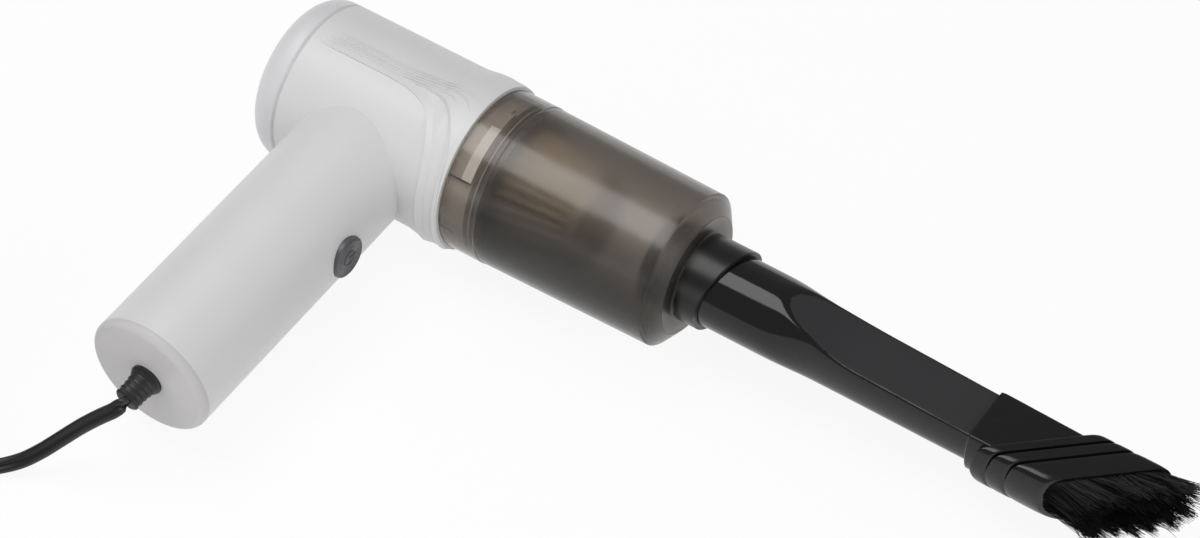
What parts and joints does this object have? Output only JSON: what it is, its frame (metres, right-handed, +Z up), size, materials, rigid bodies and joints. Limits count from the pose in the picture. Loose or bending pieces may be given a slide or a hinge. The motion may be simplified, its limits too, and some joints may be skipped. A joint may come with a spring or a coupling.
{
  "type": "car vacuum cleaner",
  "caption": "Hand-held 12 V car vacuum cleaner with a T-shaped body, a see-through dust cup, a crevice nozzle with a slide-on brush, and a coiled lead with a 12 V plug.",
  "frame": {"origin": "centre of the bottom of the cleaner's box, without the free lead and its plug, as it lies on its side", "axes": "+X along the barrel's axis towards the nozzle, -Y along the handle towards its end, +Z up"},
  "size_m": [0.476, 0.2551, 0.0626],
  "materials": {
    "housing_white": "satin, fine moulded grain",
    "inner_plastic": "matt moulded plastic",
    "smoke_clear": "smoked see-through plastic, polished",
    "gloss_black": "glossy black with fine scratches",
    "bristle_nylon": "dull nylon strands",
    "button_grey": "satin dark grey",
    "black_plastic": "satin black",
    "black_rubber": "matt soft vinyl",
    "lead_sheath": "satin vinyl sheath",
    "red_wire": "vinyl insulation",
    "filter_paper": "pleated paper",
    "foam": "open foam",
    "zinc_steel": "zinc-plated steel",
    "core_steel": "bare steel",
    "impeller_metal": "pressed aluminium",
    "magnet": "sintered ferrite",
    "carbon": "pressed graphite",
    "brass": "bare brass",
    "copper": null,
    "nickel": "nickel-plated brass"
  },
  "bodies": {
    "housing": {"main_housing": "housing_white", "rear_cap": "housing_white", "handle_end_cap": "housing_white", "bayonet_ring": "housing_white", "cord_clamp": "inner_plastic", "fan_shroud": "inner_plastic", "diffuser": "inner_plastic", "switch_bracket": "inner_plastic", "end_bell": "black_plastic", "power_switch": "black_plastic", "plug_body": "black_plastic", "plug_ring": "black_plastic", "strain_relief": "black_rubber", "motor_cushion": "black_rubber", "cup_seal": "black_rubber", "filter_gasket": "black_rubber", "plug_relief": "black_rubber", "inner_cord": "lead_sheath", "power_cord": "lead_sheath", "cord_coil": "lead_sheath", "plug_lead": "lead_sheath", "motor_leads": "red_wire", "exhaust_foam": "foam", "motor_can": "zinc_steel", "motor_screws": "zinc_steel", "bracket_screws": "zinc_steel", "clamp_screws": "zinc_steel", "button_spring": "zinc_steel", "plug_spring": "zinc_steel", "motor_magnets": "magnet", "carbon_brushes": "carbon", "motor_terminals": "brass", "front_bush": "brass", "rear_bush": "brass", "suppressor": "brass"},
    "rotor": {"motor_shaft": "core_steel", "armature": "core_steel", "armature_windings": "copper", "commutator": "copper", "impeller": "impeller_metal", "fan_nut": "zinc_steel"},
    "button": {"power_button": "button_grey", "switch_plunger": "inner_plastic"},
    "cup": {"dust_cup": "smoke_clear"},
    "nozzle": {"nozzle": "gloss_black"},
    "brush": {"brush_sleeve": "gloss_black", "bristles_top": "bristle_nylon", "bristles_bottom": "bristle_nylon", "bristles_left": "bristle_nylon", "bristles_right": "bristle_nylon"},
    "filter": {"filter_base": "inner_plastic", "filter_pleats": "filter_paper", "filter_cap": "inner_plastic"},
    "plug_tip": {"plug_tip": "nickel", "plug_fuse": "nickel"},
    "plug_contact_left": {"plug_contact_left": "nickel"},
    "plug_contact_right": {"plug_contact_right": "nickel"}
  },
  "joints": [
    {"name": "rotor_spin", "type": "hinge", "parent": "housing", "child": "rotor", "pos_m": [-0.09313, 0.0586, 0.0313], "axis": [1, 0, 0], "continuous": true},
    {"name": "button_press", "type": "slide", "parent": "housing", "child": "button", "axis": [-1, 0, 0], "range_m": [0, 0.0012], "stiffness_N_per_m": 1500, "springref_m": -0.001},
    {"name": "cup_turn", "type": "hinge", "parent": "housing", "child": "cup", "pos_m": [-0.09313, 0.0586, 0.0313], "axis": [1, 0, 0], "range_deg": [0, 20]},
    {"name": "filter_pull", "type": "slide", "parent": "housing", "child": "filter", "axis": [1, 0, 0], "range_m": [0, 0.01]},
    {"name": "nozzle_pull", "type": "slide", "parent": "cup", "child": "nozzle", "axis": [1, 0, 0], "range_m": [0, 0.014]},
    {"name": "brush_pull", "type": "slide", "parent": "nozzle", "child": "brush", "axis": [1, 0, 0], "range_m": [0, 0.028]},
    {"name": "plug_tip_press", "type": "slide", "parent": "housing", "child": "plug_tip", "axis": [0, -1, 0], "range_m": [0, 0.0025], "stiffness_N_per_m": 1500, "springref_m": -0.001},
    {"name": "plug_contact_left_press", "type": "slide", "parent": "housing", "child": "plug_contact_left", "axis": [1, 0, 0], "range_m": [0, 0.001], "stiffness_N_per_m": 1500, "springref_m": -0.0005},
    {"name": "plug_contact_right_press", "type": "slide", "parent": "housing", "child": "plug_contact_right", "axis": [-1, 0, 0], "range_m": [0, 0.001], "stiffness_N_per_m": 1500, "springref_m": -0.0005}
  ]
}
